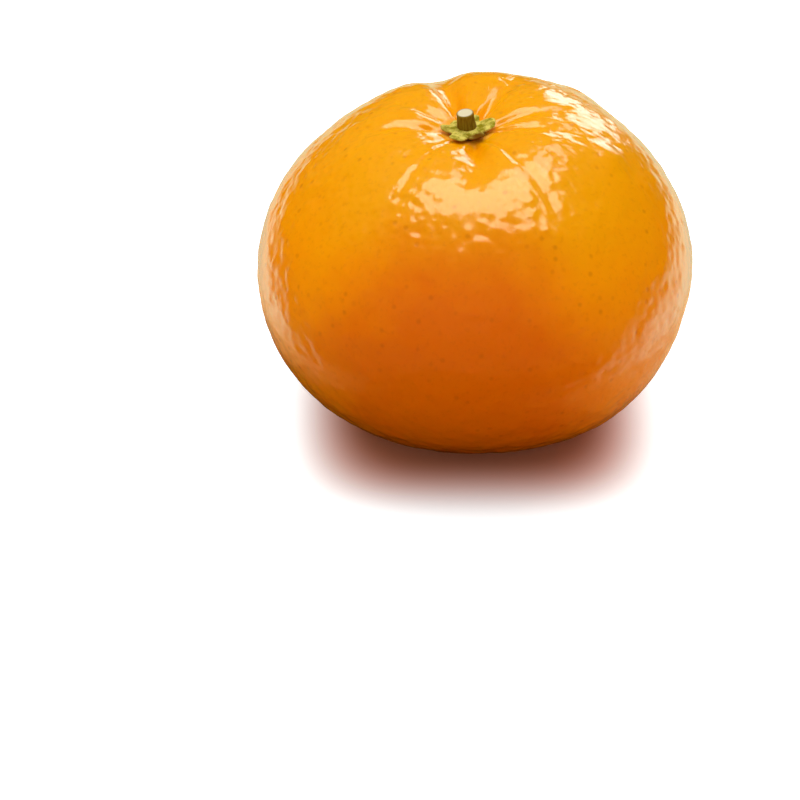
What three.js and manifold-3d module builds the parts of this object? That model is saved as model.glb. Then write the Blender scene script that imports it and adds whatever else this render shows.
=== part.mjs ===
// A whole mandarin, picked with its button of calyx and a short cut stem.
// Millimetres, +Z up. The fruit rests on its blossom end, the stem points up, and the
// origin is under the middle of the fruit, on the surface that it rests on.
import * as THREE from "three";
import { mergeVertices } from "three/addons/utils/BufferGeometryUtils.js";
import Module from "manifold-3d";

// ---- Driving dimensions ----
const EQUATOR_RADIUS = 32.5;
const STEM_HALF = { height: 25.5, fullness: 1.96 }; // above the equator; 2 is an ellipse
const BLOSSOM_HALF = { height: 25.7, fullness: 2.17 };
const STEM_OFFSET = -1.7; // the stem stands off the middle, along X

// Low forms of the skin: height in mm, and angles in degrees from the stem's pole.
const STEM_DIMPLE = { depth: 4.0, halfWidth: 15.5 };
const SHOULDER = { rise: 0.5, polar: 32, halfWidth: 15 };
const HIGH_SIDE = { rise: 1.14, azimuth: 11, polar: 50, halfWidth: 25 };
const OVAL = { rise: 0.38, azimuth: 45 };
const THREE_SIDED = { rise: 0.22, azimuth: 92 };
const BLOSSOM_DIMPLE = { depth: 1.1, halfWidth: 13 };
const FLAT_SPOT_RISE = 0.35; // how far the lowest ring is pressed flat

// Swellings of the body, and hollows where the rise is below zero.
const LOBES = [
  { rise: 0.85, azimuth: 49, polar: 59, halfWidth: 9 },
  { rise: 0.75, azimuth: 312, polar: 119, halfWidth: 23 },
  { rise: -0.4, azimuth: 347, polar: 105, halfWidth: 8 },
  { rise: -1.5, azimuth: 80, polar: 19, halfWidth: 11 },
  { rise: -0.6, azimuth: 275, polar: 22, halfWidth: 9 },
  { rise: 0.6, azimuth: 346, polar: 46, halfWidth: 6 },
];

// Furrows that run out from the stem between the ridges of the neck. A furrow may drift: its
// azimuth, given at DRIFT_FROM, changes by this much with each degree down the fruit.
const FURROWS = [
  { azimuth: 12, depth: 0.9, halfWidth: 7, reach: 42, drift: 0 },
  { azimuth: 60, depth: 1.2, halfWidth: 8, reach: 46, drift: 0 },
  { azimuth: 102, depth: 2.1, halfWidth: 10, reach: 66, drift: 0 },
  { azimuth: 146, depth: 0.5, halfWidth: 10, reach: 40, drift: 0 },
  { azimuth: 184, depth: 0.9, halfWidth: 7, reach: 44, drift: 0 },
  { azimuth: 226, depth: 0.4, halfWidth: 12, reach: 40, drift: 0 },
  { azimuth: 238, depth: 0.3, halfWidth: 4, reach: 56, drift: 0 },
  { azimuth: 277, depth: 1.5, halfWidth: 12, reach: 42, drift: -0.5 },
  { azimuth: 305, depth: 0.4, halfWidth: 4, reach: 62, drift: 0 },
  { azimuth: 349, depth: 0.9, halfWidth: 7, reach: 40, drift: 0 },
];
const DRIFT_FROM = 25;
const FURROW_START = { from: 6, to: 14 }; // polar angles over which a furrow deepens
const FURROW_FADE = 0.35; // share of its reach where a furrow starts to fade

// Calyx: five sepals of unlike length on one disc, around a boss that holds the stem.
const SEPALS = [
  { azimuth: 4, length: 3.8, halfWidth: 29, tipLift: 0.15 },
  { azimuth: 60, length: 3.0, halfWidth: 16, tipLift: 0.5 },
  { azimuth: 186, length: 3.4, halfWidth: 17, tipLift: 0 },
  { azimuth: 249, length: 4.2, halfWidth: 22, tipLift: 0 },
  { azimuth: 299, length: 3.6, halfWidth: 23, tipLift: 0 },
];
const SEPAL_BLUNTNESS = 4; // 2 is a round-ended sepal, and more is a blunter one
const TIP_CURL = 3; // how late towards its tip a sepal lifts
const CALYX_DISC_RADIUS = 2.3;
const CALYX_RIM = 0.7; // thickness of a sepal
const CALYX_BOSS = { rise: 0.6, radius: 1.9 };

const STEM = { footRadius: 1.5, topRadius: 1.25, length: 2.65, lean: 7 };
const STEM_FLARE = { share: 0.35, height: 0.3, end: 0.7 }; // parts of the taper and of the length
const CUT_BEVEL = 0.12;
const SOCKET_DEPTH = 0.5;
const CLEARANCE = 0.3; // between pieces that touch

// ---- Fineness of the faceted solids ----
const FRUIT_AROUND = 112;
const FRUIT_RINGS = 44;
const POLE_CROWDING = 0.35; // 0 spaces the rings evenly, 1 crowds them at the poles
const CALYX_AROUND = 64;
const CALYX_RINGS = 16;
const STEM_AROUND = 20;
const WELD_DISTANCE = 1e-3;

const rad = THREE.MathUtils.degToRad;
const hump = (x, halfWidth) => Math.exp(-((x / halfWidth) ** 2));
const turnBetween = (a, b) => THREE.MathUtils.euclideanModulo(a - b + 180, 360) - 180;

function lobesHeight(polar, azimuth) {
  return LOBES.reduce((sum, lobe) => {
    const along = turnBetween(azimuth, lobe.azimuth) * Math.sin(rad(lobe.polar));
    return sum + lobe.rise * hump(Math.hypot(polar - lobe.polar, along), lobe.halfWidth);
  }, 0);
}

// Height of the skin over the plain body, without the furrows.
function broadRelief(polar, azimuth) {
  const girth = Math.sin(rad(polar));
  return (
    -STEM_DIMPLE.depth * hump(polar, STEM_DIMPLE.halfWidth) +
    SHOULDER.rise * hump(polar - SHOULDER.polar, SHOULDER.halfWidth) +
    HIGH_SIDE.rise *
      Math.cos(rad(azimuth - HIGH_SIDE.azimuth)) *
      hump(polar - HIGH_SIDE.polar, HIGH_SIDE.halfWidth) +
    OVAL.rise * Math.cos(2 * rad(azimuth - OVAL.azimuth)) * girth ** 2 +
    THREE_SIDED.rise * Math.cos(3 * rad(azimuth - THREE_SIDED.azimuth)) * girth ** 3 +
    lobesHeight(polar, azimuth) -
    BLOSSOM_DIMPLE.depth * hump(180 - polar, BLOSSOM_DIMPLE.halfWidth)
  );
}

function furrowDepth(polar, azimuth) {
  const { smoothstep } = THREE.MathUtils;
  const start = smoothstep(polar, FURROW_START.from, FURROW_START.to);
  return FURROWS.reduce((sum, furrow) => {
    const middle = furrow.azimuth + furrow.drift * (polar - DRIFT_FROM);
    const across = hump(turnBetween(azimuth, middle), furrow.halfWidth);
    const fade = smoothstep(polar, FURROW_FADE * furrow.reach, furrow.reach);
    return sum + furrow.depth * across * start * (1 - fade);
  }, 0);
}

// A point over the body: polar angle from the stem, azimuth, and height over the plain body.
function overBody(polar, azimuth, rise) {
  const s = Math.sin(rad(polar));
  const c = Math.cos(rad(polar));
  const { height, fullness: n } = c > 0 ? STEM_HALF : BLOSSOM_HALF;
  const reach = ((s / EQUATOR_RADIUS) ** n + (Math.abs(c) / height) ** n) ** (-1 / n);
  const out = (reach * s) / EQUATOR_RADIUS;
  const up = (reach * Math.abs(c)) / height;
  const normal = new THREE.Vector2(
    out ** (n - 1) / EQUATOR_RADIUS,
    (Math.sign(c) * up ** (n - 1)) / height,
  ).normalize();
  const radius = reach * s + normal.x * rise;
  const z = reach * c + normal.y * rise;
  const lean = STEM_OFFSET * THREE.MathUtils.smoothstep(z, 0, STEM_HALF.height);
  const turn = rad(azimuth);
  return new THREE.Vector3(radius * Math.cos(turn) + lean, radius * Math.sin(turn), z);
}

const skinPoint = (polar, azimuth) =>
  overBody(polar, azimuth, broadRelief(polar, azimuth) - furrowDepth(polar, azimuth));

// A unit sphere about Z whose every vertex is moved to shape(polar, azimuth), in degrees.
function shapedSphere(around, rings, shape) {
  const geometry = new THREE.SphereGeometry(1, around, rings).rotateX(Math.PI / 2);
  const position = geometry.attributes.position;
  const point = new THREE.Vector3();
  for (let i = 0; i < position.count; i += 1) {
    point.fromBufferAttribute(position, i);
    const polar = THREE.MathUtils.radToDeg(Math.acos(THREE.MathUtils.clamp(point.z, -1, 1)));
    const azimuth = THREE.MathUtils.radToDeg(Math.atan2(point.y, point.x));
    position.setXYZ(i, ...shape(polar, azimuth));
  }
  geometry.computeVertexNormals();
  return geometry;
}

const crowded = (polar) => polar - (90 * POLE_CROWDING * Math.sin(2 * rad(polar))) / Math.PI;

function makeFruitGeometry() {
  const geometry = shapedSphere(FRUIT_AROUND, FRUIT_RINGS, (polar, azimuth) =>
    skinPoint(crowded(polar), azimuth),
  );
  const position = geometry.attributes.position;
  geometry.computeBoundingBox();
  const floor = geometry.boundingBox.min.z + FLAT_SPOT_RISE;
  for (let i = 0; i < position.count; i += 1) {
    position.setZ(i, Math.max(position.getZ(i), floor));
  }
  geometry.computeBoundingBox();
  geometry.computeVertexNormals();
  return geometry;
}

// How far the calyx reaches from the stem's axis, in mm, and how far its edge is lifted there.
function calyxEdge(azimuth) {
  const edge = { reach: CALYX_DISC_RADIUS, lift: 0 };
  for (const { azimuth: centre, length, halfWidth, tipLift } of SEPALS) {
    const along = Math.exp(-(Math.abs(turnBetween(azimuth, centre) / halfWidth) ** SEPAL_BLUNTNESS));
    edge.reach = Math.max(edge.reach, CALYX_DISC_RADIUS + (length - CALYX_DISC_RADIUS) * along);
    edge.lift += tipLift * along;
  }
  return edge;
}

// The calyx lies over the skin with its furrows filled, its tips a little lifted.
function makeCalyxGeometry() {
  return shapedSphere(CALYX_AROUND, CALYX_RINGS, (turn, azimuth) => {
    const { reach, lift } = calyxEdge(azimuth);
    const out = Math.sin(rad(turn));
    const radius = reach * out;
    const polar = THREE.MathUtils.radToDeg(Math.atan2(radius, STEM_HALF.height - STEM_DIMPLE.depth));
    const under = broadRelief(polar, azimuth) + CLEARANCE + lift * out ** TIP_CURL;
    const boss = CALYX_BOSS.rise * hump(radius, CALYX_BOSS.radius);
    const thickness = (CALYX_RIM + boss) * (0.5 + 0.5 * Math.cos(rad(turn)));
    return overBody(polar, azimuth, under + thickness);
  });
}

function makeStemGeometry() {
  const { footRadius, topRadius, length } = STEM;
  const flareRadius = topRadius + STEM_FLARE.share * (footRadius - topRadius);
  const profile = [
    new THREE.Vector2(0, 0),
    new THREE.Vector2(footRadius, 0),
    new THREE.Vector2(flareRadius, STEM_FLARE.height * length),
    new THREE.Vector2(topRadius, STEM_FLARE.end * length),
    new THREE.Vector2(topRadius, length - CUT_BEVEL),
    new THREE.Vector2(topRadius - CUT_BEVEL, length),
    new THREE.Vector2(0, length),
  ];
  return new THREE.LatheGeometry(profile, STEM_AROUND).rotateX(Math.PI / 2);
}

// ---- Joining and cutting ----
const wasm = await Module();
wasm.setup();

function solidOf(geometry) {
  const bare = geometry.clone();
  bare.deleteAttribute("normal");
  bare.deleteAttribute("uv");
  const merged = mergeVertices(bare, WELD_DISTANCE);
  return new wasm.Manifold(
    new wasm.Mesh({
      numProp: 3,
      vertProperties: merged.attributes.position.array,
      triVerts: new Uint32Array(merged.index.array),
    }),
  );
}

function geometryOf(solid) {
  const { vertProperties, triVerts } = solid.getMesh();
  const geometry = new THREE.BufferGeometry();
  geometry.setAttribute("position", new THREE.BufferAttribute(new Float32Array(vertProperties), 3));
  geometry.setIndex(new THREE.BufferAttribute(new Uint32Array(triVerts), 1));
  geometry.computeVertexNormals();
  return geometry;
}

// The socket in the calyx's boss follows the leaning stem's foot with a clearance all round.
function placeStem(object, foot) {
  object.position.copy(foot);
  object.rotation.y = -rad(STEM.lean);
  object.updateMatrixWorld(true);
  return object;
}

const peel = new THREE.MeshStandardMaterial({ color: 0xf07f0a, roughness: 0.35, metalness: 0 });
const sepalGreen = new THREE.MeshStandardMaterial({ color: 0x9c9a3a, roughness: 0.7, metalness: 0 });
const cutWood = new THREE.MeshStandardMaterial({ color: 0x6f5f14, roughness: 0.75, metalness: 0 });

const fruitGeometry = makeFruitGeometry();
const bossTop = overBody(0, 0, broadRelief(0, 0) + CLEARANCE + CALYX_RIM + CALYX_BOSS.rise);
const stemFoot = bossTop.clone().add(new THREE.Vector3(0, 0, -SOCKET_DEPTH));

const socket = placeStem(
  new THREE.Mesh(
    new THREE.CylinderGeometry(
      STEM.footRadius + CLEARANCE,
      STEM.footRadius + CLEARANCE,
      4 * SOCKET_DEPTH,
      STEM_AROUND,
    )
      .rotateX(Math.PI / 2)
      .translate(0, 0, 2 * SOCKET_DEPTH - CLEARANCE),
  ),
  stemFoot,
);
const socketGeometry = socket.geometry.clone().applyMatrix4(socket.matrixWorld);

const fruit = new THREE.Mesh(fruitGeometry, peel);
fruit.name = "fruit";

const calyx = new THREE.Mesh(
  geometryOf(solidOf(makeCalyxGeometry()).subtract(solidOf(socketGeometry))),
  sepalGreen,
);
calyx.name = "calyx";

const stem = placeStem(new THREE.Mesh(makeStemGeometry(), cutWood), stemFoot);
stem.name = "stem";

// The flat spot lies on the origin's plane, and the fruit's middle over the origin.
const mandarin = new THREE.Group();
mandarin.name = "mandarin";
const { min, max } = fruitGeometry.boundingBox;
mandarin.position.set(-(min.x + max.x) / 2, -(min.y + max.y) / 2, -min.z);
mandarin.add(fruit, calyx, stem);

export default mandarin;
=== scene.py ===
"""A mandarin with its button of calyx and a short cut stem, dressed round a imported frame.

Run it as a script. Lengths are in metres and angles in degrees, +Z is up, and the fruit rests
on its blossom end on the floor's plane. A polar angle is measured from the stem's pole.
"""
import math

import bmesh
import bpy
from mathutils import Matrix, Vector, noise


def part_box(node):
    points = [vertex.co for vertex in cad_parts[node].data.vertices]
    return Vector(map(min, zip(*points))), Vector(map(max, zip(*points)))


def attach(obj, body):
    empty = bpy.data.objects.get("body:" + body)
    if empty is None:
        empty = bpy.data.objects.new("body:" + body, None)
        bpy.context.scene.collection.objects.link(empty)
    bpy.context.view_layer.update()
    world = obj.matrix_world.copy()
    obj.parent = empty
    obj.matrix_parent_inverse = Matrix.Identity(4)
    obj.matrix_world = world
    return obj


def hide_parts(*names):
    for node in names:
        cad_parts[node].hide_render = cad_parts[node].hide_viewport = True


bl_info = {
    "name": "Mandarin",
    "version": (1, 0, 0),
    "blender": (4, 5, 0),
    "location": "3D View > Sidebar > Mandarin",
    "description": "Grows a mandarin's peel, calyx and stem, and sets its stage",
    "category": "Object",
}

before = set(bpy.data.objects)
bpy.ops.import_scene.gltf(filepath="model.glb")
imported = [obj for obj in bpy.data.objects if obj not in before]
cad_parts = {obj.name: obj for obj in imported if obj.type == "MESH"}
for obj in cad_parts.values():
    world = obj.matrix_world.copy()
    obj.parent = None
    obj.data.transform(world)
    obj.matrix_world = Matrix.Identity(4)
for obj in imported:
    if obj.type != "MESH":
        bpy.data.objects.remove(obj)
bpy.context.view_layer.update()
FRUIT_LOW, FRUIT_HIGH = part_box("fruit")
CALYX_LOW, CALYX_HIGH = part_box("calyx")
STEM_LOW, STEM_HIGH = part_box("stem")

MM = 0.001

# ---- The fruit's form ----
EQUATOR_RADIUS = 32.5 * MM
STEM_HALF = {"height": 25.5 * MM, "fullness": 1.96}
BLOSSOM_HALF = {"height": 25.7 * MM, "fullness": 2.17}
STEM_OFFSET = -1.7 * MM
STEM_DIMPLE = {"depth": 4.0 * MM, "half_width": 15.5}
SHOULDER = {"rise": 0.5 * MM, "polar": 32, "half_width": 15}
HIGH_SIDE = {"rise": 1.14 * MM, "azimuth": 11, "polar": 50, "half_width": 25}
OVAL = {"rise": 0.38 * MM, "azimuth": 45}
THREE_SIDED = {"rise": 0.22 * MM, "azimuth": 92}
# Swellings of the body, and hollows where the rise is below zero.
LOBES = (
    {"rise": 0.85 * MM, "azimuth": 49, "polar": 59, "half_width": 9},
    {"rise": 0.75 * MM, "azimuth": 312, "polar": 119, "half_width": 23},
    {"rise": -0.4 * MM, "azimuth": 347, "polar": 105, "half_width": 8},
    {"rise": -1.5 * MM, "azimuth": 80, "polar": 19, "half_width": 11},
    {"rise": -0.6 * MM, "azimuth": 275, "polar": 22, "half_width": 9},
    {"rise": 0.6 * MM, "azimuth": 346, "polar": 46, "half_width": 6},
)
BLOSSOM_DIMPLE = {"depth": 1.1 * MM, "half_width": 13}
FLAT_SPOT_RISE = 0.35 * MM
NECK_END = 40

# Furrows between the ridges of the neck: azimuth, depth, half width, reach, and how far the
# azimuth drifts with each degree down the fruit.
FURROWS = (
    (12, 0.9 * MM, 7, 42, 0),
    (60, 1.2 * MM, 8, 46, 0),
    (102, 2.1 * MM, 10, 66, 0),
    (146, 0.5 * MM, 10, 40, 0),
    (184, 0.9 * MM, 7, 44, 0),
    (226, 0.4 * MM, 12, 40, 0),
    (238, 0.3 * MM, 4, 56, 0),
    (277, 1.5 * MM, 12, 42, -0.5),
    (305, 0.4 * MM, 4, 62, 0),
    (349, 0.9 * MM, 7, 40, 0),
)
DRIFT_FROM = 25
FURROW_START = (6, 14)
FURROW_FADE = 0.35

# Wrinkles that fan out from the neck: where they start, are full, fade and end, their number
# and length, and how they sway. They are lower away from the high side and in the calm part.
WRINKLE_RANGE = (7, 16, 36, 60)
WRINKLE_TURNS = 5.5
WRINKLE_RUN = 9
WRINKLE_SEED = 3.0
FINE_WRINKLES = {"share": 0.7, "turns": 2 * WRINKLE_TURNS, "run": 0.7 * WRINKLE_RUN, "seed": 31.0}
WRINKLE_SWAY = {"turn": 10, "polar_run": 9, "azimuth_run": 40, "seed": 7.7}
WRINKLE_SIDES = {"mean": 0.65, "swing": 0.35}
CALM_PART = {"share": 0.5, "azimuth": 265, "half_width": 30}

# The pebbled grain all over: the size of the grain and its share.
PEBBLE_SIZES = ((3.4 * MM, 1.1), (1.5 * MM, 0.9), (0.85 * MM, 0.45))

# The peel's mesh: cuts along each edge of a cube, and how far its points crowd to the stem.
PEEL_CUTS = 126
STEM_CROWDING = 16

# ---- The calyx's form ----
# Azimuth, length, half width and lift of each sepal, and how dry it is.
SEPALS = (
    (4, 3.8 * MM, 29, 0.15 * MM, 0.0),
    (60, 3.0 * MM, 16, 0.5 * MM, 0.0),
    (186, 3.4 * MM, 17, 0.0 * MM, 0.2),
    (249, 4.2 * MM, 22, 0.0 * MM, 0.0),
    (299, 3.6 * MM, 23, 0.0 * MM, 1.0),
)
CALYX_DISC_RADIUS = 2.3 * MM
CALYX_BOSS = {"rise": 0.6 * MM, "radius": 1.9 * MM}
CALYX_CLEARANCE = 0.3 * MM
CALYX_EDGE_ROUNDNESS = 0.7
CALYX_EDGE_WAVES = {"share": 0.07, "turns": 3, "seed": 1.7}
# The ribs and the grain of the sepals start at these shares of the way to the edge.
RIB = {"half_width": 0.22, "start": (0.35, 0.7)}
SEPAL_GRAIN = {"share": 0.5, "scale": 9, "start": (0.3, 0.6)}
CALYX_AROUND = 240
CALYX_RINGS = 72

# ---- The stem's form ----
STEM_LEAN = 7
# Between its foot and its top the stem has a waist: its share of the height, and of the top's
# radius against the foot's. It is straight from the shoulder up, to the cut end's small bevel.
STEM_WAIST = {"height": 0.35, "top_share": 0.65}
STEM_SHOULDER = 0.7
STEM_BEVEL = 0.1 * MM
STEM_CUTS = 9
STEM_AROUND = 72
MERGE_DISTANCE = 0.001 * MM

# ---- The stage ----
CAMERA_TARGET = Vector((-11.25, -3.2, 0.0)) * MM
CAMERA_DISTANCE = 346.9 * MM
CAMERA_ELEVATION = 38
CAMERA_LENS = 100
CAMERA_CLIP_START = 0.01
FLOOR_HALF = 1.5


def hump(x, half_width):
    return math.exp(-((x / half_width) ** 2))


def smoothstep(x, start, end):
    t = min(max((x - start) / (end - start), 0.0), 1.0)
    return t * t * (3 - 2 * t)


def turn_between(a, b):
    return (a - b + 180) % 360 - 180


def turn_from(lobe, polar, azimuth):
    along = turn_between(azimuth, lobe["azimuth"]) * math.sin(math.radians(lobe["polar"]))
    return math.hypot(polar - lobe["polar"], along)


def waves(azimuth, polar, turns, run, seed):
    """Smooth noise that is stretched along the lines from pole to pole."""
    angle = math.radians(azimuth)
    place = (turns * math.cos(angle), turns * math.sin(angle), polar / run + seed)
    return noise.noise(Vector(place))


def angles_of(direction):
    polar = math.degrees(math.acos(min(max(direction.z / direction.length, -1.0), 1.0)))
    return polar, math.degrees(math.atan2(direction.y, direction.x))


# ---- The fruit's surface ----
def broad_relief(polar, azimuth):
    """Height of the skin over the plain body, without the furrows."""
    girth = math.sin(math.radians(polar))
    side = math.cos(math.radians(azimuth - HIGH_SIDE["azimuth"]))
    oval = math.cos(math.radians(2 * (azimuth - OVAL["azimuth"])))
    three_sided = math.cos(math.radians(3 * (azimuth - THREE_SIDED["azimuth"])))
    lobes = sum(
        lobe["rise"] * hump(turn_from(lobe, polar, azimuth), lobe["half_width"]) for lobe in LOBES
    )
    return (
        -STEM_DIMPLE["depth"] * hump(polar, STEM_DIMPLE["half_width"])
        + SHOULDER["rise"] * hump(polar - SHOULDER["polar"], SHOULDER["half_width"])
        + HIGH_SIDE["rise"] * side * hump(polar - HIGH_SIDE["polar"], HIGH_SIDE["half_width"])
        + OVAL["rise"] * oval * girth**2
        + THREE_SIDED["rise"] * three_sided * girth**3
        + lobes
        - BLOSSOM_DIMPLE["depth"] * hump(180 - polar, BLOSSOM_DIMPLE["half_width"])
    )


def furrow_depth(polar, azimuth):
    start = smoothstep(polar, *FURROW_START)
    total = 0.0
    for centre, depth, half_width, reach, drift in FURROWS:
        if polar < reach:
            middle = centre + drift * (polar - DRIFT_FROM)
            across = hump(turn_between(azimuth, middle), half_width)
            total += depth * across * start * (1 - smoothstep(polar, FURROW_FADE * reach, reach))
    return total


def sway(polar, azimuth):
    """How far the wrinkles stray from the straight line to the stem."""
    down = polar / WRINKLE_SWAY["polar_run"]
    around = azimuth / WRINKLE_SWAY["azimuth_run"]
    return WRINKLE_SWAY["turn"] * noise.noise(Vector((down, around, WRINKLE_SWAY["seed"])))


def wrinkles(polar, azimuth):
    """Irregular wrinkles round the neck, from -1 to 1, strongest on the high side."""
    start, full, fade, end = WRINKLE_RANGE
    if not start < polar < end:
        return 0.0
    amount = smoothstep(polar, start, full) * (1 - smoothstep(polar, fade, end))
    high = math.cos(math.radians(azimuth - HIGH_SIDE["azimuth"]))
    side = WRINKLE_SIDES["mean"] + WRINKLE_SIDES["swing"] * high
    off_calm = turn_between(azimuth, CALM_PART["azimuth"])
    side *= 1 - CALM_PART["share"] * hump(off_calm, CALM_PART["half_width"])
    swayed = azimuth + sway(polar, azimuth)
    fine = waves(swayed, polar, FINE_WRINKLES["turns"], FINE_WRINKLES["run"], FINE_WRINKLES["seed"])
    coarse = waves(swayed, polar, WRINKLE_TURNS, WRINKLE_RUN, WRINKLE_SEED)
    return amount * side * (coarse + FINE_WRINKLES["share"] * fine)


def pebbles(point):
    """The uneven grain of the skin, from about -1 to 1."""
    return sum(share * noise.noise(point / size) for size, share in PEBBLE_SIZES)


def over_body(polar, azimuth, rise):
    """The point that stands this high over the plain body."""
    s = math.sin(math.radians(polar))
    c = math.cos(math.radians(polar))
    half = STEM_HALF if c > 0 else BLOSSOM_HALF
    height = half["height"]
    n = half["fullness"]
    reach = ((s / EQUATOR_RADIUS) ** n + (abs(c) / height) ** n) ** (-1 / n)
    out = (reach * s / EQUATOR_RADIUS) ** (n - 1) / EQUATOR_RADIUS
    up = math.copysign((reach * abs(c) / height) ** (n - 1), c) / height
    steepness = math.hypot(out, up)
    radius = reach * s + out / steepness * rise
    z = reach * c + up / steepness * rise
    lean = STEM_OFFSET * smoothstep(z, 0, STEM_HALF["height"])
    turn = math.radians(azimuth)
    return Vector((radius * math.cos(turn) + lean, radius * math.sin(turn), z))


def body_shift():
    """How far the body moves so that it fills the fruit's box in the frame."""
    # The neck lies inside the body's width, so the points start below it.
    points = [
        over_body(polar, azimuth, broad_relief(polar, azimuth))
        for polar in range(NECK_END, 181, 2)
        for azimuth in range(0, 360, 4)
    ]
    low = Vector(map(min, zip(*points)))
    high = Vector(map(max, zip(*points)))
    shift = (FRUIT_LOW + FRUIT_HIGH - low - high) / 2
    shift.z = FRUIT_LOW.z - low.z - FLAT_SPOT_RISE
    return shift


# ---- The calyx's surface ----
def calyx_edge(azimuth):
    """How the calyx ends in one direction from the stem's axis."""
    reach = CALYX_DISC_RADIUS
    lift = 0.0
    dryness = 0.0
    off_rib = 9.0  # in half widths of a sepal, so far off every rib to begin with
    for centre, sepal_length, half_width, tip_lift, dry in SEPALS:
        off = abs(turn_between(azimuth, centre)) / half_width
        along = math.exp(-(off**4))
        reach = max(reach, CALYX_DISC_RADIUS + (sepal_length - CALYX_DISC_RADIUS) * along)
        lift += tip_lift * along
        dryness += dry * along
        off_rib = min(off_rib, off)
    turns = CALYX_EDGE_WAVES["turns"]
    turn = math.radians(azimuth)
    place = (turns * math.cos(turn), turns * math.sin(turn), CALYX_EDGE_WAVES["seed"])
    reach *= 1 + CALYX_EDGE_WAVES["share"] * noise.noise(Vector(place))
    return reach, lift, dryness, off_rib


def finished(name, bm, material, node):
    """Turns the bmesh into a smooth piece that stands for a CAD node and rides on the fruit's body."""
    mesh = bpy.data.meshes.new(name)
    bm.to_mesh(mesh)
    bm.free()
    mesh.shade_smooth()
    mesh.materials.append(material)
    piece = bpy.data.objects.new(name, mesh)
    bpy.context.scene.collection.objects.link(piece)
    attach(piece, "root")
    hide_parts(node)
    return piece


# ---- Nodes ----
class Value:
    """A value in a tree of nodes. Sums on it add Math nodes."""

    def __init__(self, nodes, socket):
        self.nodes = nodes
        self.socket = socket

    def output(self, name):
        """Another output of the same node."""
        return Value(self.nodes, self.socket.node.outputs[name])

    def math(self, operation, *values):
        return self.nodes.add("ShaderNodeMath", {"operation": operation}, dict(enumerate(values)))

    def __add__(self, other):
        return self.math("ADD", self, other)

    def __sub__(self, other):
        return self.math("SUBTRACT", self, other)

    def __mul__(self, other):
        return self.math("MULTIPLY", self, other)

    def __truediv__(self, other):
        return self.math("DIVIDE", self, other)

    def __pow__(self, other):
        return self.math("POWER", self, other)

    def __radd__(self, other):
        return self.math("ADD", other, self)

    def __rsub__(self, other):
        return self.math("SUBTRACT", other, self)

    def __rmul__(self, other):
        return self.math("MULTIPLY", other, self)


class Nodes:
    """A tree of nodes, put together node by node."""

    def __init__(self, tree):
        self.tree = tree

    def add(self, kind, settings=None, sockets=None, output=0):
        """Adds a node with its settings, then its sockets' values or links, and returns an output."""
        node = self.tree.nodes.new(kind)
        for key, setting in (settings or {}).items():
            setattr(node, key, setting)
        for key, value in (sockets or {}).items():
            self.feed(node.inputs[key], value)
        return Value(self, node.outputs[output])

    def feed(self, socket, value):
        if isinstance(value, Value):
            self.tree.links.new(value.socket, socket)
        elif socket.type == "RGBA":
            socket.default_value = (*value, 1.0)
        else:
            socket.default_value = value

    def coordinates(self, centre=(0, 0, 0), turn=(0, 0, 0)):
        """Object coordinates in mm from a centre, turned."""
        place = self.add("ShaderNodeTexCoord", output="Object")
        moved = self.add("ShaderNodeVectorMath", {"operation": "SUBTRACT"}, {0: place, 1: centre})
        sockets = {"Vector": moved, "Rotation": turn, "Scale": (1 / MM,) * 3}
        return self.add("ShaderNodeMapping", None, sockets)

    def split(self, vector):
        """The three parts of a vector or a colour."""
        x = self.add("ShaderNodeSeparateXYZ", None, {"Vector": vector})
        return x, x.output("Y"), x.output("Z")

    def along(self, vector, direction):
        """How far a vector reaches along a direction."""
        settings = {"operation": "DOT_PRODUCT"}
        return self.add("ShaderNodeVectorMath", settings, {0: vector, 1: direction}, output="Value")

    def ramp(self, value, low, high):
        """0 below low and 1 above high, or the other way round, with a smooth step."""
        low_end, high_end = (0.0, 1.0) if low < high else (1.0, 0.0)
        sockets = {
            "Value": value, "From Min": min(low, high), "From Max": max(low, high),
            "To Min": low_end, "To Max": high_end,
        }
        return self.add("ShaderNodeMapRange", {"interpolation_type": "SMOOTHSTEP"}, sockets)

    def noise(self, coordinates, scale, detail, roughness):
        sockets = {"Vector": coordinates, "Scale": scale, "Detail": detail, "Roughness": roughness}
        return self.add("ShaderNodeTexNoise", None, sockets)

    def mix(self, factor, one, other):
        """One colour where the factor is 0, and the other where it is 1."""
        return self.add("ShaderNodeMix", {"data_type": "RGBA"}, {0: factor, 6: one, 7: other}, output=2)

    def bump(self, height, depth):
        return self.add("ShaderNodeBump", None, {"Height": height, "Distance": depth, "Strength": 1.0})

    def zone(self, x, y, middle, half_axes, fade):
        """1 inside an oval and 0 outside. It fades between two shares of the half axes."""
        off = distance((x - middle[0]) / half_axes[0], (y - middle[1]) / half_axes[1])
        return self.ramp(off, *fade)


class Finish(Nodes):
    """A material and its shader."""

    def __init__(self, name):
        self.material = bpy.data.materials.new(name)
        self.material.use_nodes = True
        super().__init__(self.material.node_tree)
        self.shader = self.tree.nodes["Principled BSDF"]

    def set(self, **sockets):
        """Sets the shader's sockets; an underscore stands for a space."""
        for name, value in sockets.items():
            self.feed(self.shader.inputs[name.replace("_", " ")], value)


def distance(x, y, power=2.0):
    """The distance from the middle. A higher power than 2 makes its circles squarer."""
    return (x**power + y**power) ** (1 / power)


# ---- The peel's finish: places and distances are in mm ----
FRUIT_MIDDLE = (FRUIT_LOW + FRUIT_HIGH) / 2
MOTTLE = {"scale": 0.11, "detail": 3.0, "roughness": 0.55}
UPPER_PART = (0.0, 4.0)
LOWER_PART = (0.0, -4.0)
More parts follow.
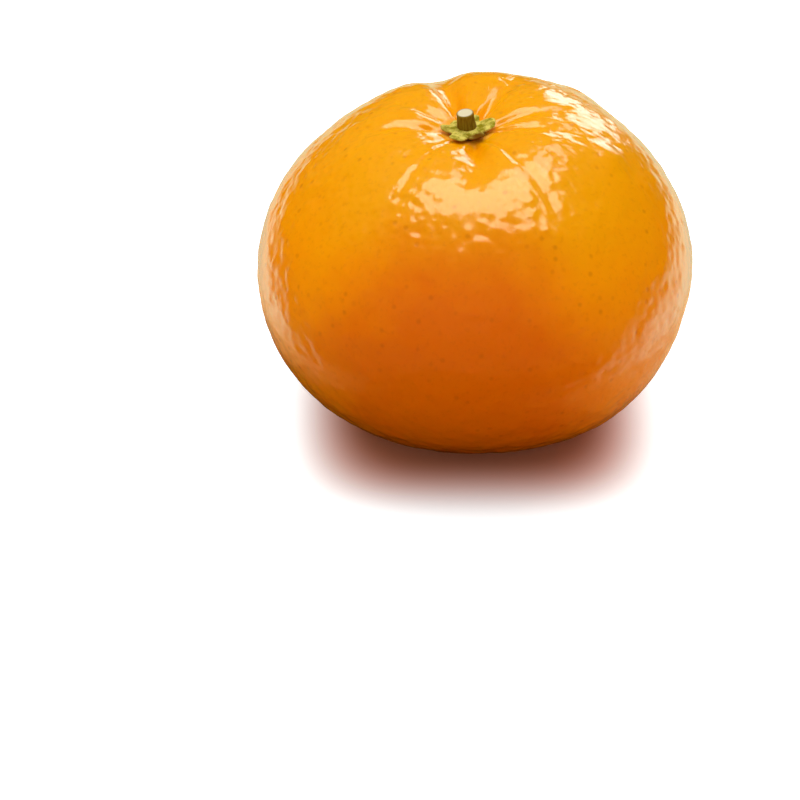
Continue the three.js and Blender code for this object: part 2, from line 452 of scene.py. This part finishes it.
# The ripeness, which is partly painted shade, and the painted shade on the front, lower side go by
# shares of the half height, made uneven by the mottle.
RIPENESS_AND_SHADE = {"fade": (0.05, 1.1), "unevenness": 0.3}
# Painted shade: a redder, darker flush on the front, lower side, narrowed towards the middle.
PAINTED_SHADE_SIDE = (-0.1, -0.98, -0.1)
PAINTED_SHADE_NARROWING = {"middle": -3.0, "amount": 0.4}
PAINTED_SHADE = {"fade": (0.5, 1.2), "unevenness": 0.5}
PIT = {"fade": (0.55, 0.1), "colouring": 0.34, "depth": 0.35}
DARK_PITS = (0.35, 0.95)
SPECKS = {"scale": 1.4, "detail": 2.0, "roughness": 0.6}
SPECK = {"fade": (0.52, 0.75), "colouring": 0.14}
# Partly a corky ring, partly painted shade under the calyx: the peel darkens to the scar colour round
# the stem.
CORK_AND_SHADE_RING = {"fade": (3.0, 2.2), "unevenness": 1.0, "colouring": 0.85}
BLOSSOM_SCAR = {"fade": (1.7, 0.7), "unevenness": 3.0, "colouring": 0.7}
WAXY_ROUGHNESS = 0.15
MATT_RING = {"fade": (4.4, 3.4), "roughness": 0.7}
COARSE_GRAIN = {"scale": 0.8, "detail": 1.0, "roughness": 0.4}
COARSE_SHARE = 0.5
FINE_GRAIN = {"scale": 2.2, "detail": 2.0, "roughness": 0.5}
FINE_SHARE = 0.12
# Fine strands that run out from the stem: their number goes by the turns, and their length by
# the run.
STRANDS = {"turns": 15.0, "run": 4.5, "share": 1.2, "start": (5.0, 11.0), "end": (28.0, 21.0)}
STRAND_NOISE = {"scale": 1.0, "detail": 2.0, "roughness": 0.5}


def peel_finish(settings):
    finish = Finish("waxy_peel")
    coordinates = finish.coordinates(FRUIT_MIDDLE)
    x, y, z = finish.split(coordinates)
    half_height = (FRUIT_HIGH.z - FRUIT_LOW.z) / 2 / MM
    stem_x = ((CALYX_LOW.x + CALYX_HIGH.x) / 2 - FRUIT_MIDDLE.x) / MM
    from_stem = distance(x - stem_x, y)
    upper = finish.ramp(z, *UPPER_PART)
    uneven = finish.noise(coordinates, **MOTTLE) - 0.5

    # Yellower at the top and redder low down: partly the peel's ripeness, partly painted shade.
    ripeness_and_shade = finish.ramp(z / half_height + uneven * RIPENESS_AND_SHADE["unevenness"], *RIPENESS_AND_SHADE["fade"])
    colour = finish.mix(ripeness_and_shade, settings.low_colour, settings.top_colour)
    # Painted shade: the front, lower side is flushed redder and darker.
    facing = finish.along(coordinates, PAINTED_SHADE_SIDE) / half_height
    off_middle = (x - PAINTED_SHADE_NARROWING["middle"]) / half_height
    facing = facing - off_middle**2.0 * PAINTED_SHADE_NARROWING["amount"]
    painted_shade = finish.ramp(facing + uneven * PAINTED_SHADE["unevenness"], *PAINTED_SHADE["fade"])
    colour = finish.mix(painted_shade, colour, settings.painted_shade_colour)

    spacing = settings.gland_spacing / MM
    gland = finish.add("ShaderNodeTexVoronoi", None, {"Vector": coordinates, "Scale": 1 / spacing})
    kind, _, _ = finish.split(gland.output("Color"))
    pit = finish.ramp(gland * spacing, *PIT["fade"])
    dark = finish.ramp(kind, *DARK_PITS)
    colour = finish.mix(pit * dark * PIT["colouring"], colour, settings.gland_colour)
    speck = finish.ramp(finish.noise(coordinates, **SPECKS), *SPECK["fade"])
    colour = finish.mix(speck * SPECK["colouring"], colour, settings.gland_colour)

    # Painted shade under the calyx's edge, partly a corky ring round the stem.
    ring = finish.ramp(from_stem + uneven * CORK_AND_SHADE_RING["unevenness"], *CORK_AND_SHADE_RING["fade"]) * upper
    colour = finish.mix(ring * CORK_AND_SHADE_RING["colouring"], colour, settings.scar_and_shade_colour)
    scar = finish.ramp(distance(x, y) + uneven * BLOSSOM_SCAR["unevenness"], *BLOSSOM_SCAR["fade"])
    scar = scar * finish.ramp(z, *LOWER_PART)
    colour = finish.mix(scar * BLOSSOM_SCAR["colouring"], colour, settings.scar_and_shade_colour)
    matt = finish.ramp(from_stem, *MATT_RING["fade"]) * upper

    sideways = {
        "X": (x - stem_x) / from_stem * STRANDS["turns"],
        "Y": y / from_stem * STRANDS["turns"],
        "Z": from_stem / STRANDS["run"],
    }
    strands = finish.noise(finish.add("ShaderNodeCombineXYZ", None, sideways), **STRAND_NOISE)
    band = finish.ramp(from_stem, *STRANDS["start"]) * finish.ramp(from_stem, *STRANDS["end"]) * upper
    height = finish.noise(coordinates, **COARSE_GRAIN) * COARSE_SHARE
    height = height + finish.noise(coordinates, **FINE_GRAIN) * FINE_SHARE
    height = height + strands * band * STRANDS["share"] - pit * PIT["depth"]
    finish.set(
        Base_Color=colour,
        Roughness=WAXY_ROUGHNESS + matt * MATT_RING["roughness"],
        IOR=1.45,
        Subsurface_Weight=0.35,
        Subsurface_Radius=(1.0, 0.35, 0.08),
        Subsurface_Scale=1.2 * MM,
        Normal=finish.bump(height, settings.grain_depth),
    )
    return finish.material


# ---- The calyx's finish: its tips go by shares of the way from the middle to the edge ----
FADED_PATCHES = {"scale": 0.9, "detail": 3.0, "roughness": 0.6}
FADED_FROM = (0.35, 0.6)
TIP_UNEVENNESS = 0.3
DRY_TIP = {"fade": (0.97, 1.06), "colouring": 0.6}
DEAD_SEPAL_FROM = (0.58, 0.78)
SEPAL_NOISE = {"scale": 4.0, "detail": 3.0, "roughness": 0.6}
SEPAL_NOISE_DEPTH = 0.12 * MM


def calyx_finish(settings):
    finish = Finish("dry_calyx")
    coordinates = finish.coordinates()
    tip = finish.add("ShaderNodeAttribute", {"attribute_name": "tip"}, output="Fac")
    dead = finish.add("ShaderNodeAttribute", {"attribute_name": "dry"}, output="Fac")
    patches = finish.noise(coordinates, **FADED_PATCHES)
    colour = finish.mix(finish.ramp(patches, *FADED_FROM), settings.green, settings.pale_green)
    uneven_tip = tip + (patches - 0.5) * TIP_UNEVENNESS
    dry = finish.ramp(uneven_tip, *DRY_TIP["fade"]) * DRY_TIP["colouring"]
    colour = finish.mix(dry, colour, settings.dry_colour)
    colour = finish.mix(dead * finish.ramp(uneven_tip, *DEAD_SEPAL_FROM), colour, settings.dry_colour)
    finish.set(
        Base_Color=colour,
        Roughness=0.6,
        Specular_IOR_Level=0.0,
        Subsurface_Weight=0.15,
        Subsurface_Radius=(0.6, 1.0, 0.2),
        Subsurface_Scale=0.6 * MM,
        Normal=finish.bump(finish.noise(coordinates, **SEPAL_NOISE), SEPAL_NOISE_DEPTH),
    )
    return finish.material


# ---- The stem's finish: places and distances are in mm from the middle of the cut end ----
FIBRES = {"scale": 3.0, "detail": 3.0, "roughness": 0.6}
FIBRE_STRETCH = 0.18
PALE_FIBRES = (0.35, 0.65)
FIBRE_DEPTH = 0.12 * MM
CUT_END = (-0.22, -0.08)
BARK_RIM = (0.92, 1.2)


def stem_finish(settings, top, axis_turn):
    finish = Finish("stem_wood")
    coordinates = finish.coordinates(top, axis_turn)
    x, y, z = finish.split(coordinates)
    sockets = {"Vector": coordinates, "Scale": (1.0, 1.0, FIBRE_STRETCH)}
    fibre = finish.noise(finish.add("ShaderNodeMapping", None, sockets), **FIBRES)
    bark = finish.mix(finish.ramp(fibre, *PALE_FIBRES), settings.bark, settings.pale_bark)
    wood = finish.mix(finish.ramp(distance(x, y), *BARK_RIM), settings.wood, settings.pale_bark)
    finish.set(
        Base_Color=finish.mix(finish.ramp(z, *CUT_END), bark, wood),
        Roughness=0.6,
        Specular_IOR_Level=0.1,
        Normal=finish.bump(fibre, FIBRE_DEPTH),
    )
    return finish.material


# ---- Settings ----
def length_setting(name, description, default):
    return bpy.props.FloatProperty(
        name=name, description=description, default=default, min=0.0, unit="LENGTH", precision=5
    )


def colour_setting(name, description, default):
    return bpy.props.FloatVectorProperty(
        name=name, description=description, default=default, subtype="COLOR", size=3, min=0.0, max=1.0
    )


def amount_setting(name, description, default):
    return bpy.props.FloatProperty(name=name, description=description, default=default, min=0.0)


class PeelSettings(bpy.types.PropertyGroup):
    wrinkle_depth: length_setting("Wrinkle depth", "Depth of the wrinkles round the neck", 0.09 * MM)
    pebble_depth: length_setting("Pebble depth", "Depth of the skin's uneven grain", 0.1 * MM)
    grain_depth: length_setting("Grain depth", "Depth of the fine grain and the gland pits", 0.06 * MM)
    gland_spacing: length_setting("Gland spacing", "Distance between oil glands", 1.7 * MM)
    # The top and low colours: partly the peel's ripeness, partly painted shade low down.
    top_colour: colour_setting("Top colour", "Peel near the stem", (1.0, 0.4, 0.0))
    low_colour: colour_setting("Low colour", "Peel near the blossom end", (0.98, 0.27, 0.0))
    # Painted shade: the redder, darker colour of the front, lower side.
    painted_shade_colour: colour_setting("Blush colour", "Riper flush on the sunny side", (0.8, 0.15, 0.0))
    gland_colour: colour_setting("Gland colour", "Dots over the oil glands", (0.5, 0.1, 0.001))
    # The scar colour also paints shade round the stem under the calyx.
    scar_and_shade_colour: colour_setting("Scar colour", "Corky ring and blossom scar", (0.3, 0.1, 0.008))


class CalyxSettings(bpy.types.PropertyGroup):
    thickness: length_setting("Thickness", "Thickness of a sepal", 0.7 * MM)
    rib_height: length_setting("Rib height", "Height of the ribs and the grain of the sepals", 0.16 * MM)
    green: colour_setting("Green", "Living parts of the calyx", (0.31, 0.25, 0.012))
    pale_green: colour_setting("Pale green", "Faded parts of the calyx", (0.8, 0.66, 0.13))
    dry_colour: colour_setting("Dry colour", "Dry tips and edges", (0.17, 0.065, 0.004))


class StemSettings(bpy.types.PropertyGroup):
    foot_radius: length_setting("Foot radius", "Radius where the stem leaves the calyx", 1.5 * MM)
    top_radius: length_setting("Top radius", "Radius of the cut end", 1.25 * MM)
    stub_length: length_setting("Length", "Length of the stub", 2.65 * MM)
    bark: colour_setting("Bark", "Shaded streaks of the bark", (0.18, 0.09, 0.0))
    pale_bark: colour_setting("Pale bark", "Lit streaks of the bark", (0.27, 0.16, 0.006))
    wood: colour_setting("Wood", "Cut end", (0.85, 0.74, 0.48))


class StageSettings(bpy.types.PropertyGroup):
    floor_colour: colour_setting("Floor", "The pale floor", (0.9, 0.9, 0.9))
    # Painted light on the floor, which whitens it off the fruit and so shapes its painted shadow.
    floor_glow: amount_setting("Floor glow", "How much the floor glows off the fruit", 0.85)
    backdrop: amount_setting("Backdrop", "Brightness of the room where it is seen", 0.95)
    wall_shine: amount_setting("Wall shine", "Brightness of the pale walls in gloss", 2.5)
    ambient: amount_setting("Ambient", "Brightness of the dim room", 0.225)
    front_fill: amount_setting("Front fill", "How much brighter the room is in front", 3.9)
    back_fill: amount_setting("Back fill", "How much brighter the room is above and behind", 7.2)
    top_shine: amount_setting("Top shine", "Brightness of the softbox overhead in gloss", 6.8)
    top_light: amount_setting("Top light", "Brightness of the softbox overhead", 1.9)
    back_shine: amount_setting("Back shine", "Brightness of the softbox behind in gloss", 4.6)
    back_light: amount_setting("Back light", "Brightness of the softbox behind", 1.6)
    high_shine: amount_setting("High shine", "Brightness of the high, small softbox in gloss", 4.0)
    high_light: amount_setting("High light", "Brightness of the high, small softbox", 0.8)


# ---- Operators ----
class MANDARIN_OT_peel(bpy.types.Operator):
    """Grow the peel with its furrows, wrinkles and grain"""

    bl_idname = "mandarin.peel"
    bl_label = "Peel"

    def execute(self, context):
        settings = context.scene.mandarin_peel
        bm = bmesh.new()
        bmesh.ops.create_cube(bm, size=2.0)
        bmesh.ops.subdivide_edges(bm, edges=bm.edges[:], cuts=PEEL_CUTS, use_grid_fill=True)
        for vertex in bm.verts:
            # The tangent gives the cube's squares about the same size once they are on the round.
            even = Vector([math.tan(math.pi / 4 * share) for share in vertex.co])
            polar, azimuth = angles_of(even)
            polar -= STEM_CROWDING * math.sin(math.radians(polar))
            rise = broad_relief(polar, azimuth) - furrow_depth(polar, azimuth)
            rise += settings.wrinkle_depth * wrinkles(polar, azimuth)
            rise += settings.pebble_depth * pebbles(over_body(polar, azimuth, 0))
            vertex.co = over_body(polar, azimuth, rise)
        floor = min(vertex.co.z for vertex in bm.verts) + FLAT_SPOT_RISE
        for vertex in bm.verts:
            vertex.co.z = max(vertex.co.z, floor)
        bmesh.ops.recalc_face_normals(bm, faces=bm.faces[:])
        bmesh.ops.translate(bm, verts=bm.verts[:], vec=body_shift())
        finished("peel", bm, peel_finish(settings), "fruit")
        return {"FINISHED"}


class MANDARIN_OT_calyx(bpy.types.Operator):
    """Grow the calyx: five uneven sepals round a boss"""

    bl_idname = "mandarin.calyx"
    bl_label = "Calyx"

    def execute(self, context):
        settings = context.scene.mandarin_calyx
        bm = bmesh.new()
        bmesh.ops.create_uvsphere(bm, u_segments=CALYX_AROUND, v_segments=CALYX_RINGS, radius=1.0)
        tips = bm.verts.layers.float.new("tip")
        dry_parts = bm.verts.layers.float.new("dry")
        for vertex in bm.verts:
            turn, azimuth = angles_of(vertex.co)
            reach, lift, dryness, off_rib = calyx_edge(azimuth)
            share = math.sin(math.radians(turn))
            radius = reach * share
            polar = math.degrees(math.atan2(radius, STEM_HALF["height"] - STEM_DIMPLE["depth"]))
            # The underside stands clear of the skin at the edge and drops to it at the middle.
            edge_under = broad_relief(polar, azimuth) + lift * share**3 + CALYX_CLEARANCE
            under = edge_under - (1 - share) * CALYX_CLEARANCE
            boss = CALYX_BOSS["rise"] * hump(radius, CALYX_BOSS["radius"])
            full = edge_under + settings.thickness + boss - under
            level = abs(math.cos(math.radians(turn))) ** CALYX_EDGE_ROUNDNESS
            level = math.copysign(level, 90 - turn)
            rib = hump(off_rib, RIB["half_width"]) * smoothstep(share, *RIB["start"])
            grain = noise.noise(vertex.co * SEPAL_GRAIN["scale"])
            grain *= smoothstep(share, *SEPAL_GRAIN["start"])
            relief = settings.rib_height * (rib + SEPAL_GRAIN["share"] * grain)
            rise = under + full * (0.5 + 0.5 * level) + relief * max(level, 0)
            vertex.co = over_body(polar, azimuth, rise)
            vertex[tips] = share
            vertex[dry_parts] = dryness
        bmesh.ops.recalc_face_normals(bm, faces=bm.faces[:])
        bmesh.ops.translate(bm, verts=bm.verts[:], vec=body_shift())
        finished("calyx_star", bm, calyx_finish(settings), "calyx")
        return {"FINISHED"}


class MANDARIN_OT_stem(bpy.types.Operator):
    """Grow the cut stub of the stem"""

    bl_idname = "mandarin.stem"
    bl_label = "Stem"

    def execute(self, context):
        settings = context.scene.mandarin_stem
        foot = settings.foot_radius
        top = settings.top_radius
        height = settings.stub_length
        waist = foot + STEM_WAIST["top_share"] * (top - foot)
        outline = (
            (0, 0),
            (foot, 0),
            (waist, STEM_WAIST["height"] * height),
            (top, STEM_SHOULDER * height),
            (top, height - STEM_BEVEL),
            (top - STEM_BEVEL, height),
            (0, height),
        )
        bm = bmesh.new()
        verts = [bm.verts.new((radius, 0, z)) for radius, z in outline]
        edges = [bm.edges.new(pair) for pair in zip(verts, verts[1:])]
        bmesh.ops.subdivide_edges(bm, edges=edges, cuts=STEM_CUTS)
        bmesh.ops.spin(
            bm, geom=bm.verts[:] + bm.edges[:], axis=(0, 0, 1), cent=(0, 0, 0),
            steps=STEM_AROUND, angle=2 * math.pi, use_merge=True,
        )
        bmesh.ops.remove_doubles(bm, verts=bm.verts[:], dist=MERGE_DISTANCE)
        bmesh.ops.recalc_face_normals(bm, faces=bm.faces[:])
        bmesh.ops.translate(bm, verts=bm.verts[:], vec=(0, 0, -height / 2))
        lean = math.radians(STEM_LEAN)
        place = Matrix.Translation((STEM_LOW + STEM_HIGH) / 2) @ Matrix.Rotation(-lean, 4, "Y")
        bmesh.ops.transform(bm, matrix=place, verts=bm.verts[:])
        cut_end = place @ Vector((0, 0, height / 2))
        wood = stem_finish(settings, cut_end, (0, lean, 0))
        finished("stem_stub", bm, wood, "stem")
        return {"FINISHED"}


# ---- The floor's finish: places and distances are in mm ----
# The floor's shade round the fruit is a painted shadow, and its glow is painted light: it whitens the
# floor off the fruit and is warm at the shadow's edge.
SHADE = {"half_axes": (25.0, 27.0), "power": 4.0, "lit": (0.64, 1.4), "pale": (0.64, 1.15)}
SHADE_COLOUR = (0.72, 0.25, 0.13)
GLOW_COLOUR = (1.0, 0.3, 0.17)
# What the fruit sees of the floor, all painted: its tint in the gloss is a painted reflection, a warm
# patch in front is painted bounce light, and a dark one round the fruit's foot is painted shade. Further
# off the floor is clear to gloss, so that the low walls show.
SHINE_COLOUR = (0.9, 0.75, 0.4)
PAINTED_BOUNCE_PATCH = {"middle": (20.0, -70.0), "half_axes": (70.0, 60.0), "fade": (1.3, 0.6)}
PAINTED_BOUNCE_COLOUR = (1.0, 0.5, 0.12)
FOOT_SHADE_PATCH = {"middle": (-8.0, -12.0), "half_axes": (38.0, 74.0), "fade": (1.25, 0.65)}
FOOT_SHADE_COLOUR = (0.02, 0.008, 0.004)
SHINE_END = (46.0, 64.0)
BLACK = (0.0, 0.0, 0.0)
WHITE = (1.0, 1.0, 1.0)


def floor_finish(settings):
    """A pale floor with a painted soft shadow and a painted glow; the fruit sees painted warm bounce
    light in front and painted shade round its foot.
    """
    finish = Finish("pale_floor")
    x, y, _ = finish.split(finish.coordinates())
    light_path = finish.add("ShaderNodeLightPath")
    seen = light_path.output("Is Camera Ray")
    glossy = light_path.output("Is Glossy Ray")
    half_x, half_y = SHADE["half_axes"]
    off_shade = distance(x / half_x, y / half_y, SHADE["power"])
    lit = finish.ramp(off_shade, *SHADE["lit"])
    pale = finish.ramp(off_shade, *SHADE["pale"])
    # Painted shadow: the floor turns to the shade colour near the fruit.
    colour = finish.mix(pale, SHADE_COLOUR, settings.floor_colour)
    # Painted reflection: the floor's tint in the fruit's gloss.
    colour = finish.mix(glossy, colour, SHINE_COLOUR)
    # Painted bounce light: a warm patch in front, not seen by the camera.
    warm = finish.zone(x, y, **PAINTED_BOUNCE_PATCH) * (1 - seen)
    colour = finish.mix(warm, colour, PAINTED_BOUNCE_COLOUR)
    # Painted shade: a dark patch round the fruit's foot, not seen by the camera.
    dark = finish.zone(x, y, **FOOT_SHADE_PATCH) * (1 - seen)
    colour = finish.mix(dark, colour, FOOT_SHADE_COLOUR)
    # Painted light: the glow whitens the floor off the fruit, warm at the edge of the painted shadow.
    glow = finish.mix(pale, GLOW_COLOUR, WHITE)
    glow = finish.mix(lit * seen * settings.floor_glow, BLACK, glow)
    finish.set(Base_Color=colour, Roughness=0.9, IOR=1.2, Emission_Color=glow, Emission_Strength=1.0)
    far = finish.ramp(distance(x, y), *SHINE_END) * glossy
    clear = finish.add("ShaderNodeBsdfTransparent")
    matt = Value(finish, finish.shader.outputs["BSDF"])
    surface = finish.add("ShaderNodeMixShader", None, {0: far, 1: matt, 2: clear})
    finish.feed(finish.tree.nodes["Material Output"].inputs["Surface"], surface)
    return finish.material


# ---- The room, by the direction from the fruit: a ramp's two ends are reaches along it ----
# Pale walls low behind and beside the fruit, which show in its gloss alone.
WALL_SIDE = {"direction": (0.24, 0.788, -0.616), "fade": (0.16, 0.66)}
WALL_TOP = (-0.07, -0.33)
WALL_DIP = {"direction": (0.0, 0.788, -0.616), "fade": (0.72, 0.97), "share": 0.6}
# A faint band behind the fruit at its own height.
BAND = {"back": (0.6, 0.85), "foot": (0.0, 0.1), "top": (0.5, 0.35), "brightness": 0.04}
FRONT_FILL = {"direction": (-0.2, -0.98, 0.0), "fade": (0.1, 1.0), "foot": (0.0, 0.4)}
BACK_FILL = {"direction": (-0.08, 0.5, 0.86), "fade": (0.5, 1.0)}
WALL_COLOUR = (0.6, 0.8, 0.58)


def room(settings):
    """Pale walls behind and beside the fruit, which show in its gloss, and a dim room in front."""
    world = bpy.data.worlds.new("room")
    world.use_nodes = True
    nodes = Nodes(world.node_tree)
    direction = nodes.add("ShaderNodeTexCoord", output="Generated")
    _, y, z = nodes.split(direction)
    light_path = nodes.add("ShaderNodeLightPath")
    seen = light_path.output("Is Camera Ray")
    glossy = light_path.output("Is Glossy Ray")

    side = nodes.ramp(nodes.along(direction, WALL_SIDE["direction"]), *WALL_SIDE["fade"])
    dip = nodes.ramp(nodes.along(direction, WALL_DIP["direction"]), *WALL_DIP["fade"])
    wall = side * nodes.ramp(z, *WALL_TOP) * (1 - dip * WALL_DIP["share"])
    band = nodes.ramp(y, *BAND["back"]) * nodes.ramp(z, *BAND["foot"]) * nodes.ramp(z, *BAND["top"])
    wall = wall + band * BAND["brightness"]

    front = nodes.ramp(nodes.along(direction, FRONT_FILL["direction"]), *FRONT_FILL["fade"])
    front = front * nodes.ramp(z, *FRONT_FILL["foot"])
    back = nodes.ramp(nodes.along(direction, BACK_FILL["direction"]), *BACK_FILL["fade"])
    fill = 1 + front * settings.front_fill + back * settings.back_fill

    strength = seen * settings.backdrop + glossy * wall * settings.wall_shine
    strength = strength + (1 - seen - glossy) * fill * settings.ambient
    background = world.node_tree.nodes["Background"]
    nodes.feed(background.inputs["Color"], nodes.mix(glossy, WHITE, WALL_COLOUR))
    nodes.feed(background.inputs["Strength"], strength)
    return world


# ---- Lights and camera ----
WARM_TINT = {"shine": (1.0, 1.0, 0.74), "light": (1.0, 1.0, 0.84)}
WHITE_TINT = {"shine": WHITE, "light": WHITE}
# Name, shape, size, place, aim and tint of each softbox. Its brightness is in the settings.
SOFTBOXES = (
    ("top", "ELLIPSE", (0.68, 0.46), (0.03, 0.05, 0.63), (0.03, 0.05, 0.0), WARM_TINT),
    ("back", "RECTANGLE", (0.28, 0.34), (0.28, 0.72, 0.21), FRUIT_MIDDLE, WHITE_TINT),
    ("high", "RECTANGLE", (0.19, 0.28), (0.245, 0.37, 0.64), FRUIT_MIDDLE, WHITE_TINT),
)
FILLED_SHARE = {"ELLIPSE": math.pi / 4, "RECTANGLE": 1.0}


def aim(thing, place, target):
    thing.location = place
    thing.rotation_euler = (Vector(target) - Vector(place)).to_track_quat("-Z", "Y").to_euler()
    bpy.context.scene.collection.objects.link(thing)


def softbox(settings, name, shape, size, place, target, tint):
    """A soft light with its own brightness in the gloss of things, and another on their matt side."""
    for part in ("shine", "light"):
        light = bpy.data.lights.new(f"{name}_softbox_{part}", "AREA")
        light.shape = shape
        light.size, light.size_y = size
        light.color = tint[part]
        brightness = getattr(settings, f"{name}_{part}")
        light.energy = brightness * math.pi * FILLED_SHARE[shape] * size[0] * size[1]
        lamp = bpy.data.objects.new(light.name, light)
        lamp.visible_glossy = part == "shine"
        lamp.visible_diffuse = part == "light"
        aim(lamp, place, target)


class MANDARIN_OT_stage(bpy.types.Operator):
    """Set the floor, the lights and the camera"""

    bl_idname = "mandarin.stage"
    bl_label = "Stage"

    def execute(self, context):
        settings = context.scene.mandarin_stage
        bm = bmesh.new()
        bmesh.ops.create_grid(bm, x_segments=1, y_segments=1, size=FLOOR_HALF)
        mesh = bpy.data.meshes.new("floor")
        bm.to_mesh(mesh)
        bm.free()
        mesh.materials.append(floor_finish(settings))
        floor = bpy.data.objects.new("floor", mesh)
        context.scene.collection.objects.link(floor)

        for box in SOFTBOXES:
            softbox(settings, *box)
        context.scene.world = room(settings)
        context.scene.view_settings.view_transform = "Standard"

        camera = bpy.data.cameras.new("camera")
        camera.lens = CAMERA_LENS
        camera.clip_start = CAMERA_CLIP_START
        rise = math.radians(CAMERA_ELEVATION)
        place = CAMERA_TARGET + CAMERA_DISTANCE * Vector((0, -math.cos(rise), math.sin(rise)))
        viewer = bpy.data.objects.new("camera", camera)
        aim(viewer, place, CAMERA_TARGET)
        context.scene.camera = viewer
        return {"FINISHED"}


class MANDARIN_PT_sidebar(bpy.types.Panel):
    """The mandarin's pieces and their settings"""

    bl_idname = "MANDARIN_PT_sidebar"
    bl_label = "Mandarin"
    bl_space_type = "VIEW_3D"
    bl_region_type = "UI"
    bl_category = "Mandarin"

    def draw(self, context):
        for operator, name, group in PIECES:
            box = self.layout.box()
            box.operator(operator.bl_idname)
            settings = getattr(context.scene, name)
            for setting in group.__annotations__:
                box.prop(settings, setting)


# Each operator, and the name and the kind of its settings on the scene.
PIECES = (
    (MANDARIN_OT_peel, "mandarin_peel", PeelSettings),
    (MANDARIN_OT_calyx, "mandarin_calyx", CalyxSettings),
    (MANDARIN_OT_stem, "mandarin_stem", StemSettings),
    (MANDARIN_OT_stage, "mandarin_stage", StageSettings),
)


def register():
    for operator, name, group in PIECES:
        bpy.utils.register_class(group)
        bpy.utils.register_class(operator)
        setattr(bpy.types.Scene, name, bpy.props.PointerProperty(type=group))
    bpy.utils.register_class(MANDARIN_PT_sidebar)


def unregister():
    bpy.utils.unregister_class(MANDARIN_PT_sidebar)
    for operator, name, group in reversed(PIECES):
        delattr(bpy.types.Scene, name)
        bpy.utils.unregister_class(operator)
        bpy.utils.unregister_class(group)


def main():
    register()
    bpy.ops.mandarin.peel()
    bpy.ops.mandarin.calyx()
    bpy.ops.mandarin.stem()
    bpy.ops.mandarin.stage()


if __name__ == "__main__":
    main()
